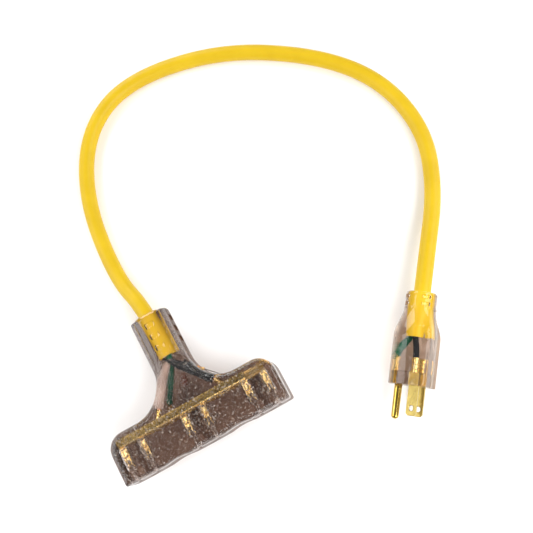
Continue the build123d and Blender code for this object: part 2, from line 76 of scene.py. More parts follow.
# ---------------------------------------------------------------- sizes of the looks
BAR_DEPTH = 31.5 * MM
HALF_NECK = 12.65 * MM
NECK_HALF_HEIGHT = 11.5 * MM
NECK_POWER = 3.0                   # of its section: 2 is an ellipse, larger is squarer
SHOULDER_RADIUS = 11.0 * MM
FLARE_RADIUS = 22.0 * MM
NECK_BULGE = 1.6 * MM
FLOOR_GAP = 0.15 * MM              # under the shell, so that its underside is seen
CORD_DIAMETER = 10.4 * MM
WIRE_RADIUS = 1.875 * MM
COPPER_RADIUS = 1.15 * MM
LAY_RADIUS = 2.2 * MM
WINDOW_ROWS = (66.5 * MM, 74.0 * MM, 81.5 * MM)   # of the neck, from the outlet faces
WINDOW_FLOOR = 8.4 * MM
INSERT_WIDTH = 25.0 * MM
INSERT_HEIGHT = 24.0 * MM
INSERT_CORNER = 5.0 * MM
PLATE_DEPTH = 2.6 * MM             # of an outlet's face, as shown
FACE_WALL = 8.0 * MM
CHAMBER_END = 22.4 * MM
SLOT_LEVEL = 20.4 * MM
SLOT_OFFSET = 6.35 * MM
SLOT_WIDTH = 2.0 * MM
NEUTRAL_SLOT_HEIGHT = 8.1 * MM
HOT_SLOT_HEIGHT = 6.9 * MM
GROUND_LEVEL = SLOT_LEVEL - 11.9 * MM
GROUND_HOLE_RADIUS = 2.75 * MM
CHAMBER_WIDTH, CHAMBER_HEIGHT = 5.6 * MM, 9.4 * MM
GROUND_CHAMBER_RADIUS = 3.9 * MM
STRIP_FRONT, STRIP_BACK = 22.9 * MM, 27.9 * MM    # from the outlet faces
NEUTRAL_LEVEL, HOT_LEVEL, EARTH_LEVEL = 24.8 * MM, 14.8 * MM, 4.4 * MM   # of the strips
CLIP_ROOT, CLIP_MOUTH = 22.0 * MM, 9.2 * MM
SHOULDER_AT = 28.0 * MM            # plug: where its taper has reached full size
COLLAR_RADIUS = 9.5 * MM
BLADE_LINE = 3.6 * MM
PIN_LINE = -8.3 * MM
HALF_SPACING = 6.35 * MM
BARREL_START = 41.0 * MM
BLADE_ROOT = 49.5 * MM
BLADE_WIDTH = 6.35 * MM
BLADE_THICKNESS = 1.5 * MM
BLADE_TIP = FACE_AT + 17.9 * MM
BLADE_HOLE_AT = FACE_AT + 13.3 * MM
BLADE_HOLE_RADIUS = 1.6 * MM
PIN_TIP = FACE_AT + 21.0 * MM
COLLAR_WINDOW_TURN = -37.0         # degrees about the plug's axis
COLLAR_WINDOW_ROWS = (3.4 * MM, 7.8 * MM)
COLLAR_WINDOW_FLOOR = 7.4 * MM
PLUG_BACK, PLUG_FRONT = -14.3 * MM, 12.0 * MM     # its section, across the blades and the pin
PLUG_HALF, PLUG_CORNER = 12.5 * MM, 4.0 * MM
BARREL_RADIUS = 2.1 * MM
GRIP_START, GRIP_END, GRIP_PITCH = 28.0 * MM, 47.0 * MM, 1.25 * MM

# the cord's route, from the jacket's end in the block to its end in the plug
CORD_REST = 5.25 * MM
CORD_LEVEL = 15.0 * MM
JACKET_START = Vector((0, BACK - 29.9 * MM, CORD_LEVEL))
JACKET_END = PLUG_START + PLUG_AXIS * SHOULDER_AT
PLUG_APPROACH = PLUG_START - PLUG_AXIS * 20.0 * MM
ROUTE = [
    JACKET_START,
    Vector((0.000, 0.049, CORD_LEVEL)),
    Vector((-0.010, 0.080, 0.0056)),
    Vector((-0.005, 0.139, CORD_REST)),
    Vector((0.018, 0.183, CORD_REST)),
    Vector((0.058, 0.201, CORD_REST)),
    Vector((0.123, 0.187, CORD_REST)),
    Vector((0.177, 0.150, CORD_REST)),
    Vector((0.207, 0.111, CORD_REST)),
    Vector((0.214, 0.066, CORD_REST)),
    Vector((0.199, 0.027, 0.0054)),
    PLUG_APPROACH,
    JACKET_END,
]


# ---------------------------------------------------------------- small tools
def smoothstep(low, high, value):
    t = min(1.0, max(0.0, (value - low) / (high - low)))
    return t * t * (3 - 2 * t)


def new_object(name, mesh, material=None, smooth=True):
    piece = bpy.data.objects.new(name, mesh)
    bpy.context.scene.collection.objects.link(piece)
    if material is not None:
        mesh.materials.append(material)
    if smooth:
        mesh.polygons.foreach_set("use_smooth", [True] * len(mesh.polygons))
    return piece


def shade(piece, angle):
    """Smooth faces, with edges kept sharp where they turn by more than an angle in degrees."""
    piece.data.polygons.foreach_set("use_smooth", [True] * len(piece.data.polygons))
    piece.data.set_sharp_from_angle(angle=math.radians(angle))


def arc_path(centre, radius, start, end, steps=6):
    """Places on an arc, from one angle in degrees to another."""
    return [(centre[0] + radius * math.cos(math.radians(start + (end - start) * k / steps)),
             centre[1] + radius * math.sin(math.radians(start + (end - start) * k / steps)))
            for k in range(steps + 1)]


def side_faces(base, count, rings):
    """Faces between rings of count points each, whose first point is number base."""
    faces = []
    for k in range(rings - 1):
        for i in range(count):
            j = (i + 1) % count
            faces.append((base + k * count + i, base + k * count + j,
                          base + (k + 1) * count + j, base + (k + 1) * count + i))
    return faces


def capped_faces(base, count, rings):
    """The same, with one face over each end."""
    last = base + (rings - 1) * count
    return side_faces(base, count, rings) + [
        tuple(base + i for i in range(count))[::-1], tuple(last + i for i in range(count))]


def mesh_from(name, points, faces):
    mesh = bpy.data.meshes.new(name)
    mesh.from_pydata([tuple(p) for p in points], [], faces)
    mesh.validate()
    mesh.update()
    return mesh


def skin(name, rings, material):
    """A closed skin over rings of the same number of points, with a fan over each end."""
    count = len(rings[0])
    points = [p for ring in rings for p in ring]
    faces = side_faces(0, count, len(rings))
    for k, flip in ((0, True), (len(rings) - 1, False)):
        points.append(sum((Vector(p) for p in rings[k]), Vector()) / count)
        hub = len(points) - 1
        for i in range(count):
            a, b = k * count + i, k * count + (i + 1) % count
            faces.append((hub, b, a) if flip else (hub, a, b))
    piece = new_object(name, mesh_from(name, points, faces), material)
    fix_normals(piece)
    return piece


def fix_normals(piece):
    work = bmesh.new()
    work.from_mesh(piece.data)
    bmesh.ops.recalc_face_normals(work, faces=work.faces)
    work.to_mesh(piece.data)
    work.free()


def frames_along(points, up):
    """Tangent, side and up at each point, turning as little as possible."""
    frames = []
    for k, point in enumerate(points):
        ahead = points[min(k + 1, len(points) - 1)] - points[max(k - 1, 0)]
        ahead = ahead.normalized()
        side = ahead.cross(up).normalized()
        up = side.cross(ahead).normalized()
        frames.append((ahead, side, up))
    return frames


def tube_rings(points, radius, sides=20, up=Vector((0, 0, 1))):
    """Rings of a round tube. radius is one number, or a function of the share of the way."""
    rings = []
    last = len(points) - 1
    for k, (point, (_, side, high)) in enumerate(zip(points, frames_along(points, up))):
        size = radius(k / last) if callable(radius) else radius
        rings.append([
            point + side * math.cos(2 * math.pi * i / sides) * size
            + high * math.sin(2 * math.pi * i / sides) * size
            for i in range(sides)
        ])
    return rings


def tube(name, points, radius, material, sides=20):
    return skin(name, tube_rings(points, radius, sides), material)


def lathe(name, start, end, profile, materials, bands=(), sides=32):
    """A turned piece: a profile of (distance from start, radius). Each band is a first and a
    last distance and the number of its material."""
    axis = (end - start).normalized()
    side = axis.orthogonal().normalized()
    high = axis.cross(side)
    rings = []
    for along, radius in profile:
        rings.append([start + axis * along + (side * math.cos(2 * math.pi * i / sides)
                      + high * math.sin(2 * math.pi * i / sides)) * radius for i in range(sides)])
    piece = skin(name, rings, materials[0])
    for material in materials[1:]:
        piece.data.materials.append(material)
    for face in piece.data.polygons:
        along = (face.center - start).dot(axis)
        for low, high_end, number in bands:
            if low < along < high_end:
                face.material_index = number
    shade(piece, 45)
    return piece


def joined(name, pieces):
    """One piece made of several, which keep their materials."""
    work = bmesh.new()
    materials = []
    for piece in pieces:
        part = piece.data
        for material in part.materials:
            if material not in materials:
                materials.append(material)
        numbers = [materials.index(m) for m in part.materials]
        part.transform(piece.matrix_world)
        for face in part.polygons:
            face.material_index = numbers[face.material_index]
        work.from_mesh(part)
    mesh = bpy.data.meshes.new(name)
    work.to_mesh(mesh)
    work.free()
    for material in materials:
        mesh.materials.append(material)
    for piece in pieces:
        bpy.data.objects.remove(piece)
    whole = bpy.data.objects.new(name, mesh)
    bpy.context.scene.collection.objects.link(whole)
    return whole


def placed(piece, node):
    """Puts a piece on the body and in the place of a CAD node."""
    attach(piece, "root")
    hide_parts(node)
    return piece


def make_spline(name, route):
    """A curve object with the route's points as the control points of one NURBS spline."""
    curve = bpy.data.curves.new(name, "CURVE")
    curve.dimensions = "3D"
    curve.resolution_u = 16
    spline = curve.splines.new("NURBS")
    spline.points.add(len(route) - 1)
    for control, place in zip(spline.points, route):
        control.co = (*place, 1.0)
    spline.order_u = 3
    spline.use_endpoint_u = True
    piece = bpy.data.objects.new(name, curve)
    bpy.context.scene.collection.objects.link(piece)
    return piece


def spline_points(route, step=None):
    """Points along the NURBS line of a route, at even steps where a step is given."""
    line = make_spline("line", route)
    bpy.context.view_layer.update()
    mesh = bpy.data.meshes.new_from_object(line)
    points = [v.co.copy() for v in mesh.vertices]
    curve = line.data
    bpy.data.objects.remove(line)
    bpy.data.curves.remove(curve)
    bpy.data.meshes.remove(mesh)
    if (points[0] - Vector(route[0])).length > (points[-1] - Vector(route[0])).length:
        points.reverse()
    return evenly(points, step) if step else points


def evenly(points, step):
    """The same line, with its points at even steps."""
    places = np.array([tuple(p) for p in points])
    along = np.concatenate([[0], np.cumsum(np.linalg.norm(np.diff(places, axis=0), axis=1))])
    count = max(2, int(round(along[-1] / step)) + 1)
    wanted = np.linspace(0, along[-1], count)
    columns = [np.interp(wanted, along, places[:, i]) for i in range(3)]
    return [Vector(row) for row in np.stack(columns, 1)]


def path_length(points):
    return sum((b - a).length for a, b in zip(points, points[1:]))


def in_plug(across, up, along):
    """A place in the plug, from its own three measures."""
    return PLUG_FRAME @ Vector((across, up, along))


# ---------------------------------------------------------------- materials
def node_material(name):
    material = bpy.data.materials.new(name)
    material.use_nodes = True
    tree = material.node_tree
    tree.nodes.clear()
    out = tree.nodes.new("ShaderNodeOutputMaterial")
    shader = tree.nodes.new("ShaderNodeBsdfPrincipled")
    tree.links.new(shader.outputs["BSDF"], out.inputs["Surface"])
    return material, tree, shader, out


def add_noise(tree, scale, detail=4.0, roughness=0.55, stretch=(1, 1, 1), coordinates="Object"):
    place = tree.nodes.new("ShaderNodeTexCoord")
    mapping = tree.nodes.new("ShaderNodeMapping")
    mapping.inputs["Scale"].default_value = stretch
    noise = tree.nodes.new("ShaderNodeTexNoise")
    noise.inputs["Scale"].default_value = scale
    noise.inputs["Detail"].default_value = detail
    noise.inputs["Roughness"].default_value = roughness
    tree.links.new(place.outputs[coordinates], mapping.inputs["Vector"])
    tree.links.new(mapping.outputs["Vector"], noise.inputs["Vector"])
    return noise


def ramp(tree, source, stops):
    node = tree.nodes.new("ShaderNodeValToRGB")
    node.color_ramp.elements[0].position = stops[0][0]
    node.color_ramp.elements[0].color = (*stops[0][1], 1)
    node.color_ramp.elements[1].position = stops[-1][0]
    node.color_ramp.elements[1].color = (*stops[-1][1], 1)
    for position, colour in stops[1:-1]:
        node.color_ramp.elements.new(position).color = (*colour, 1)
    tree.links.new(source, node.inputs["Fac"])
    return node.outputs["Color"]


def spread(tree, source, low, high):
    node = tree.nodes.new("ShaderNodeMapRange")
    node.inputs["From Min"].default_value = 0.3
    node.inputs["From Max"].default_value = 0.7
    node.inputs["To Min"].default_value = low
    node.inputs["To Max"].default_value = high
    tree.links.new(source, node.inputs["Value"])
    return node.outputs["Result"]


def bump(tree, shader, heights, socket="Normal"):
    """Chains bumps, each a height source, a strength and a distance in metres."""
    normal = None
    for source, strength, distance in heights:
        node = tree.nodes.new("ShaderNodeBump")
        node.inputs["Strength"].default_value = strength
        node.inputs["Distance"].default_value = distance
        tree.links.new(source, node.inputs["Height"])
        if normal is not None:
            tree.links.new(normal, node.inputs["Normal"])
        normal = node.outputs["Normal"]
    tree.links.new(normal, shader.inputs[socket])


def solid_material(name, dark, light, rough, metallic=0.0, grain=900.0, depth=0.00003,
                   blotch=120.0, ior=1.5, stretch=(1, 1, 1), embedded=False):
    """An opaque material whose colour, roughness and surface vary a little. An embedded one
    lies in clear plastic, so it has next to no shine of its own."""
    material, tree, shader, _ = node_material(name)
    large = add_noise(tree, blotch, 3.0, stretch=stretch)
    fine = add_noise(tree, grain, 3.0, stretch=stretch)
    tree.links.new(ramp(tree, large.outputs["Fac"], [(0.3, dark), (0.7, light)]),
                   shader.inputs["Base Color"])
    tree.links.new(spread(tree, fine.outputs["Fac"], *rough), shader.inputs["Roughness"])
    shader.inputs["Metallic"].default_value = metallic
    shader.inputs["IOR"].default_value = ior
    if embedded:
        shader.inputs["Specular IOR Level"].default_value = 0.05
    bump(tree, shader, [(fine.outputs["Fac"], 0.5, depth)])
    return material


def clear_material(name, tint, shadow, rough, soak_colour, density, mist, pebble=0.0,
                   pebble_end=None, wave=0.0004, ior=1.53, painted_shade=None):
    """Clear moulded plastic: it bends light, and darkens with thickness. A shell may get painted
    shade: its underside and flanks darker than its top, standing in for the shade under it seen
    through the plastic; the argument for it holds their two colours and the four levels where the
    underside ends, the flank starts and ends and the top starts. pebble is the height of such a
    shell's grip texture, which fades out between the depths pebble_end; its pebbles' tops get
    painted glints, paler and less clear."""
    material, tree, shader, out = node_material(name)
    waves = add_noise(tree, 110.0, 2.0)
    fine = add_noise(tree, 2600.0, 2.0)
    colour = ramp(tree, waves.outputs["Fac"], [(0.25, shadow), (0.75, tint)])
    shader.inputs["Transmission Weight"].default_value = 1.0
    shader.inputs["Coat Weight"].default_value = GLOSS if pebble else 0.0
    if painted_shade:
        # painted shade: the colour darkens towards the underside and on the flanks, for the shade under
        # the shell
        height = level_above_floor(tree)
        colour = darker_below(tree, colour, height, *painted_shade)
        flank = ramp(tree, height, flank_stops(painted_shade[2], (0, 0, 0), (1, 1, 1)))
        clearness = scaled(tree, flank, 1.0, FLANK_CLEARNESS)
        tree.links.new(clearness, shader.inputs["Transmission Weight"])
        shader.inputs["Specular IOR Level"].default_value = 0.0
        if pebble:
            tree.links.new(scaled(tree, flank, GLOSS, 0.0), shader.inputs["Coat Weight"])
    if pebble:
        pebbles = pebble_height(tree, pebble_end)
        # painted glints: the pebbles' tops are paler and let less light through
        painted_glints = ramp(tree, pebbles, [(PAINTED_GLINTS_FROM, (0, 0, 0)), (PAINTED_GLINTS_FULL, (1, 1, 1))])
        colour = blended(tree, painted_glints, colour, PAINTED_GLINT_COLOUR)
        clearness_with_glints = product(tree, clearness, scaled(tree, painted_glints, 1.0, PAINTED_GLINT_CLEARNESS))
        tree.links.new(clearness_with_glints, shader.inputs["Transmission Weight"])
    tree.links.new(colour, shader.inputs["Base Color"])
    tree.links.new(spread(tree, fine.outputs["Fac"], *rough), shader.inputs["Roughness"])
    shader.inputs["IOR"].default_value = ior
    heights = [(waves.outputs["Fac"], 0.5, wave)]
    if pebble:
        heights.append((pebbles, 1.0, pebble))
        shader.inputs["Coat Roughness"].default_value = 0.06
        bump(tree, shader, [(pebbles, 1.0, pebble * GLINT)], "Coat Normal")
    bump(tree, shader, heights)
    through = tree.nodes.new("ShaderNodeBsdfTransparent")
    through.inputs["Color"].default_value = (*mist, 1)
    rays = tree.nodes.new("ShaderNodeLightPath")
    mix = tree.nodes.new("ShaderNodeMixShader")
    tree.links.new(rays.outputs["Is Shadow Ray"], mix.inputs["Fac"])
    tree.links.new(shader.outputs["BSDF"], mix.inputs[1])
    tree.links.new(through.outputs["BSDF"], mix.inputs[2])
    tree.links.new(mix.outputs["Shader"], out.inputs["Surface"])
    if density:
        soak = tree.nodes.new("ShaderNodeVolumeAbsorption")
        soak.inputs["Color"].default_value = (*soak_colour, 1)
        soak.inputs["Density"].default_value = density
        tree.links.new(soak.outputs["Volume"], out.inputs["Volume"])
    return material


def blended(tree, share, colour, other):
    """One colour towards another by a share."""
    mix = tree.nodes.new("ShaderNodeMix")
    mix.data_type = "RGBA"
    tree.links.new(share, mix.inputs["Factor"])
    tree.links.new(colour, mix.inputs["A"])
    mix.inputs["B"].default_value = (*other, 1)
    return mix.outputs["Result"]


def scaled(tree, source, low, high):
    """A share turned into a value between low and high."""
    node = tree.nodes.new("ShaderNodeMapRange")
    node.inputs["To Min"].default_value = low
    node.inputs["To Max"].default_value = high
    tree.links.new(source, node.inputs["Value"])
    return node.outputs["Result"]


def product(tree, one, other):
    """Two values multiplied."""
    node = tree.nodes.new("ShaderNodeMath")
    node.operation = "MULTIPLY"
    tree.links.new(one, node.inputs[0])
    tree.links.new(other, node.inputs[1])
    return node.outputs["Value"]


def object_place(tree, axis):
    """One of the three object coordinates, in metres."""
    place = tree.nodes.new("ShaderNodeTexCoord")
    split = tree.nodes.new("ShaderNodeSeparateXYZ")
    tree.links.new(place.outputs["Object"], split.inputs["Vector"])
    return split.outputs[axis]


def level_above_floor(tree):
    """The level above the floor as a share of SHELL_TOP."""
    height = tree.nodes.new("ShaderNodeMapRange")
    height.inputs["From Max"].default_value = SHELL_TOP
    tree.links.new(object_place(tree, "Z"), height.inputs["Value"])
    return height.outputs["Result"]


def flank_stops(levels, outside, flank, top=None):
    """Stops of a ramp over the level: underside, flank from the second to the third, top."""
    colours = (outside, flank, flank, outside if top is None else top)
    return list(zip([level / SHELL_TOP for level in levels], colours))


def darker_below(tree, colour, height, under, flank, levels):
    """Paints shade: multiplies a colour by one that runs from the underside's over the flanks' to white.
    """
    mix = tree.nodes.new("ShaderNodeMix")
    mix.data_type = "RGBA"
    mix.blend_type = "MULTIPLY"
    mix.inputs["Factor"].default_value = 1.0
    tree.links.new(colour, mix.inputs["A"])
    stops = flank_stops(levels, under, flank, (1, 1, 1))
    tree.links.new(ramp(tree, height, stops), mix.inputs["B"])
    return mix.outputs["Result"]


def pebble_height(tree, fade):
    """Irregular pebbles about a millimetre across, fading out between two depths."""
    pebbles = add_noise(tree, 850.0, 1.5, 0.45)
    keep = tree.nodes.new("ShaderNodeMapRange")
    keep.interpolation_type = "SMOOTHSTEP"
    keep.inputs["From Min"].default_value = fade[0]
    keep.inputs["From Max"].default_value = fade[1]
    keep.inputs["To Min"].default_value = 1.0
    keep.inputs["To Max"].default_value = 0.08
    tree.links.new(object_place(tree, "Y"), keep.inputs["Value"])
    return product(tree, pebbles.outputs["Fac"], keep.outputs["Result"])


def jacket_material():
    """Satin yellow PVC with faint drawing lines along the cord."""
    material, tree, shader, _ = node_material("jacket_yellow")
    blotch = add_noise(tree, 60.0, 3.0)
    lines = add_noise(tree, 1.0, 3.0, stretch=(6, 60, 1), coordinates="UV")
    grain = add_noise(tree, 1500.0, 3.0)
    tree.links.new(ramp(tree, blotch.outputs["Fac"],
                        [(0.3, (0.58, 0.38, 0.005)), (0.7, (0.64, 0.43, 0.008))]),
                   shader.inputs["Base Color"])
    tree.links.new(spread(tree, grain.outputs["Fac"], 0.36, 0.50), shader.inputs["Roughness"])
    shader.inputs["IOR"].default_value = 1.48
    shader.inputs["Specular IOR Level"].default_value = 0.3
    shader.inputs["Subsurface Weight"].default_value = 0.12
    shader.inputs["Subsurface Radius"].default_value = (0.004, 0.002, 0.0006)
    shader.inputs["Subsurface Scale"].default_value = 0.5
    bump(tree, shader, [(grain.outputs["Fac"], 0.35, 0.00003), (lines.outputs["Fac"], 0.5, 0.00012)])
    return material


PAINTED_GLINTS_FROM, PAINTED_GLINTS_FULL = 0.62, 0.72   # of the pebbles' height, where painted glints make them paler
PAINTED_GLINT_COLOUR = (0.70, 0.57, 0.45)
PAINTED_GLINT_CLEARNESS = 0.55             # share of the light that the painted glints let through
FLANK_CLEARNESS = 0.42             # and a shell's flanks, so that their painted shade shows
SHELL_TOP = 32.0 * MM              # level at which the smoke's ramps end
GLOSS = 0.35                       # coat over a pebbled shell
GLINT = 4.0                        # the gloss follows the pebbles more than the bent light does
SMOKE, SMOKE_DENSITY = (0.40, 0.18, 0.0), 24.0
# painted shade of the block's and the plug's underside and flanks: underside colour, flank colour, and the
# levels where the underside ends, the flank starts and ends and the top starts
BLOCK_PAINTED_SHADE = ((0.10, 0.052, 0.034), (0.14, 0.085, 0.06), (0.002, 0.004, 0.020, 0.0240))
PLUG_PAINTED_SHADE = ((0.20, 0.135, 0.105), (0.38, 0.28, 0.20), (0.003, 0.006, 0.014, 0.018))
# the block's shell and outlet cores and the plug's shell carry painted shade, the block's shell also
# painted glints
SHELL = clear_material("smoky_pvc", (0.97, 0.93, 0.91), (0.93, 0.88, 0.86), (0.05, 0.13),
                       SMOKE, SMOKE_DENSITY, (0.90, 0.88, 0.87), 0.00022, (0.014, 0.026),
                       painted_shade=BLOCK_PAINTED_SHADE)
CORE = clear_material("outlet_core_plastic", (0.98, 0.95, 0.93), (0.93, 0.89, 0.87), (0.05, 0.14),
                      SMOKE, SMOKE_DENSITY, (0.95, 0.94, 0.93), painted_shade=BLOCK_PAINTED_SHADE)
PLUG_CLEAR = clear_material("plug_pvc", (0.97, 0.94, 0.92), (0.93, 0.89, 0.87), (0.03, 0.09),
                            (0.46, 0.28, 0.0), 18.0, (0.97, 0.95, 0.93),
                            painted_shade=PLUG_PAINTED_SHADE)
BRIDGE = clear_material("bridge_plastic", (0.99, 0.96, 0.94), (0.95, 0.92, 0.90), (0.05, 0.14),
                        (0.42, 0.22, 0.05), 16.0, (0.97, 0.96, 0.95), ior=1.04)
# Two copies of brass: the dark one paints the shade of the dark surroundings that a flat strip reflects,
# the bright one, which the pressed parts also take, paints a highlight.
SHADED_BRASS = solid_material("brass", (0.26, 0.17, 0.05), (0.42, 0.30, 0.10), (0.22, 0.34), 1.0,
                       1100.0, 0.00005, 300.0)
CRINKLED_LIT_BRASS = solid_material("pressed_brass", (0.92, 0.62, 0.18), (1.0, 0.84, 0.42), (0.14, 0.26), 1.0,
                          800.0, 0.00022, 300.0)
BLADE_BRASS = solid_material("blade_brass", (0.42, 0.31, 0.09), (0.53, 0.41, 0.13), (0.16, 0.28),
                             1.0, 1200.0, 0.000012, 200.0)
PIN_BRASS = solid_material("pin_brass", (0.46, 0.31, 0.06), (0.62, 0.44, 0.11), (0.10, 0.18),
                           1.0, 1200.0, 0.000010, 200.0)
COPPER = solid_material("copper_strand", (0.72, 0.27, 0.13), (0.90, 0.42, 0.24), (0.20, 0.34), 1.0)
JACKET = jacket_material()
WHITE = solid_material("white_wire", (0.27, 0.20, 0.17), (0.42, 0.33, 0.29), (0.40, 0.52), embedded=True)
BLACK = solid_material("black_wire", (0.005, 0.005, 0.006), (0.011, 0.011, 0.013), (0.40, 0.52),
                       embedded=True)
GREEN = solid_material("green_wire", (0.000, 0.060, 0.028), (0.002, 0.11, 0.052), (0.40, 0.52),
                       embedded=True)
LAMP_GLASS = clear_material("lamp_glass", (1.0, 0.82, 0.76), (0.98, 0.74, 0.68), (0.0, 0.03),
                            (1, 1, 1), 0.0, (0.98, 0.92, 0.90), wave=0.0001, ior=1.12)
ELECTRODE = solid_material("electrode", (0.14, 0.05, 0.035), (0.26, 0.09, 0.06), (0.30, 0.45), 0.6)
TINNED = solid_material("tinned_lead", (0.26, 0.24, 0.21), (0.40, 0.37, 0.33), (0.26, 0.40), 1.0)
RESISTOR_BODY = solid_material("resistor_body", (0.36, 0.22, 0.11), (0.50, 0.33, 0.18), (0.30, 0.42),
                               embedded=True)
BAND_BROWN = solid_material("band_brown", (0.10, 0.035, 0.012), (0.15, 0.055, 0.02), (0.3, 0.4),
                            embedded=True)
BAND_ORANGE = solid_material("band_orange", (0.70, 0.18, 0.02), (0.82, 0.25, 0.04), (0.3, 0.4),
                             embedded=True)
BAND_GOLD = solid_material("band_gold", (0.60, 0.42, 0.14), (0.76, 0.56, 0.22), (0.2, 0.3), 1.0)


# ---------------------------------------------------------------- cord
def make_cord():
    piece = make_spline("cord_jacket_smooth", ROUTE)
    piece.data.bevel_depth = CORD_DIAMETER / 2
    piece.data.bevel_resolution = 10
    piece.data.use_fill_caps = True
    piece.data.materials.append(JACKET)
    return placed(piece, "cord_jacket")


cord = make_cord()

# ---------------------------------------------------------------- wires
LAY_TURNS = 5
TAIL_SWELL = 0.36                  # the plastic magnifies the white and the black tail
WIRE_TAILS = {
    # colour: angle at the plug in degrees, way through the block, barrel in the plug
    "white": (210, WHITE, "white_pvc", [(-7.2, 4.0, 18.6), (-12.4, -4.0, 22.4), (-18.0, -12.5, 22.7)],
              (BLADE_LINE, -HALF_SPACING)),
    "black": (90, BLACK, "black_pvc", [(4.4, 5.0, 18.0), (10.6, -2.0, 18.4), (19.6, -12.5, 17.4)],
              (BLADE_LINE, HALF_SPACING)),
    "green": (-30, GREEN, "green_pvc", [(-2.6, 4.0, 12.6), (-8.0, -4.0, 9.5), (-13.0, -12.5, 7.0)],
              (PIN_LINE, 0.0)),
}


def make_wires():
    """Three wires, laid round each other in the jacket, with their tails at both ends."""
    line = spline_points(ROUTE, 1.0 * MM)
    frames = frames_along(line, Vector((0, 0, 1)))
    ferrules = []
    for colour, (angle, material, slot, tail, barrel) in WIRE_TAILS.items():
        inside = []
        for k, (point, (_, side, up)) in enumerate(zip(line, frames)):
            share = k / (len(line) - 1)
            turn = math.radians(angle + 90) + 2 * math.pi * LAY_TURNS * (1 - share)
            turn -= math.radians(90) * smoothstep(0, 1, share)
            inside.append(point + (side * math.cos(turn) + up * math.sin(turn)) * LAY_RADIUS)
        block_route = [Vector(p) * MM for p in tail][::-1] + [inside[0], inside[2]]
        block_tail = spline_points(block_route, 0.8 * MM)
        entry = in_plug(*barrel, BARREL_START)
        plug_route = [inside[-3], inside[-1], in_plug(*barrel, BARREL_START - 4 * MM), entry]
        plug_tail = spline_points(plug_route, 0.8 * MM)
        points = evenly(block_tail[:-1] + inside[2:-3] + plug_tail, 1.0 * MM)
        grown = 0.0 if colour == "green" else TAIL_SWELL
        end = 34 * MM / path_length(points)
        piece = tube(f"{colour}_wire", points,
                     lambda share: WIRE_RADIUS * (1 + grown * (1 - smoothstep(end * 0.6, end, share))),
                     material, 24)
        placed(piece, f"{colour}_insulation")
        outward = (points[0] - points[1]).normalized()
        ferrules.append(crimped(f"{colour}_ferrule", points[0] + outward * 0.6 * MM, outward,
                                6.0 * MM, 1.65 * MM, CRINKLED_LIT_BRASS))
        core = [points[0] + outward * 7.6 * MM] + points
        core += [entry + PLUG_AXIS * 8.4 * MM]
        strands(f"{colour}_strands", evenly(core, 1.0 * MM), f"{colour}_copper")
    placed(joined("wire_ferrules", ferrules), "block_ferrules")


def crimped(name, start, axis, length, radius, material):
    """A barrel with a flared mouth and two crimped waists."""
    profile = []
    for k in range(41):
        share = k / 40
        waist = 0.16 * (math.exp(-((share - 0.36) / 0.09) ** 2) + math.exp(-((share - 0.68) / 0.09) ** 2))
        flare = 0.14 * (1 - smoothstep(0.0, 0.12, share))
        rim = 0.22 * smoothstep(0.95, 1.0, share)
        profile.append((share * length, radius * (1 - waist + flare - rim)))
    return lathe(name, start, start + axis * length, profile, [material])


def strands(name, points, node):
    """A bundle of seven twisted copper strands."""
    work_points, faces = [], []
    sides, strand = 8, COPPER_RADIUS * 0.36
    frames = frames_along(points, Vector((0, 0, 1)))
    for s in range(7):
        reach = 0.0 if s == 6 else COPPER_RADIUS * 0.64
        path = []
        for k, (point, (_, side, up)) in enumerate(zip(points, frames)):
            turn = 2 * math.pi * (s / 6 + k / 24)
            path.append(point + (side * math.cos(turn) + up * math.sin(turn)) * reach)
        rings = tube_rings(path, strand, sides)
        base = len(work_points)
        for ring in rings:
            work_points += ring
        faces += capped_faces(base, sides, len(rings))
    placed(new_object(name, mesh_from(name, work_points, faces), COPPER), node)


make_wires()


# ---------------------------------------------------------------- block shell
def bar_outline():
    """The T seen from above, anticlockwise from its front right corner."""
    bar_back = FRONT + BAR_DEPTH
    corner = 0.7 * MM
    right = arc_path((HALF_WIDTH - corner, FRONT + corner), corner, -90, 0)
    right += arc_path((HALF_WIDTH - SHOULDER_RADIUS, bar_back - SHOULDER_RADIUS),
                      SHOULDER_RADIUS, 0, 90, 12)
    right += arc_path((HALF_NECK + FLARE_RADIUS, bar_back + FLARE_RADIUS), FLARE_RADIUS, 270, 180, 18)
    for k in range(11):
        x = HALF_NECK * (1 - k / 10)
        right.append((x, BACK - NECK_BULGE * (x / HALF_NECK) ** 2))
    left = [(-x, y) for x, y in right[-2::-1]]
    front = []
    steps = 80
    for k in range(1, steps):
        x = -HALF_WIDTH + corner + (2 * HALF_WIDTH - 2 * corner) * k / steps
        front.append((x, FRONT + front_hollow(x)))
    return right + left + front


def front_hollow(x):
    """The shallow hollows of the front between two outlets."""
    middle = abs(OUTLET_X[2]) / 2
    share = (abs(x) - middle) / (8.5 * MM)
    return 0.05 * MM + 0.8 * MM * max(0.0, 1 - share * share)


def inset_loop(loop, amount):
    """The loop moved inwards along its own normals."""
    moved = []
    count = len(loop)
    for k in range(count):
        a, b = Vector(loop[k - 1]), Vector(loop[(k + 1) % count])
        run = (b - a).normalized()
        moved.append((loop[k][0] - run.y * amount, loop[k][1] + run.x * amount))
    return moved


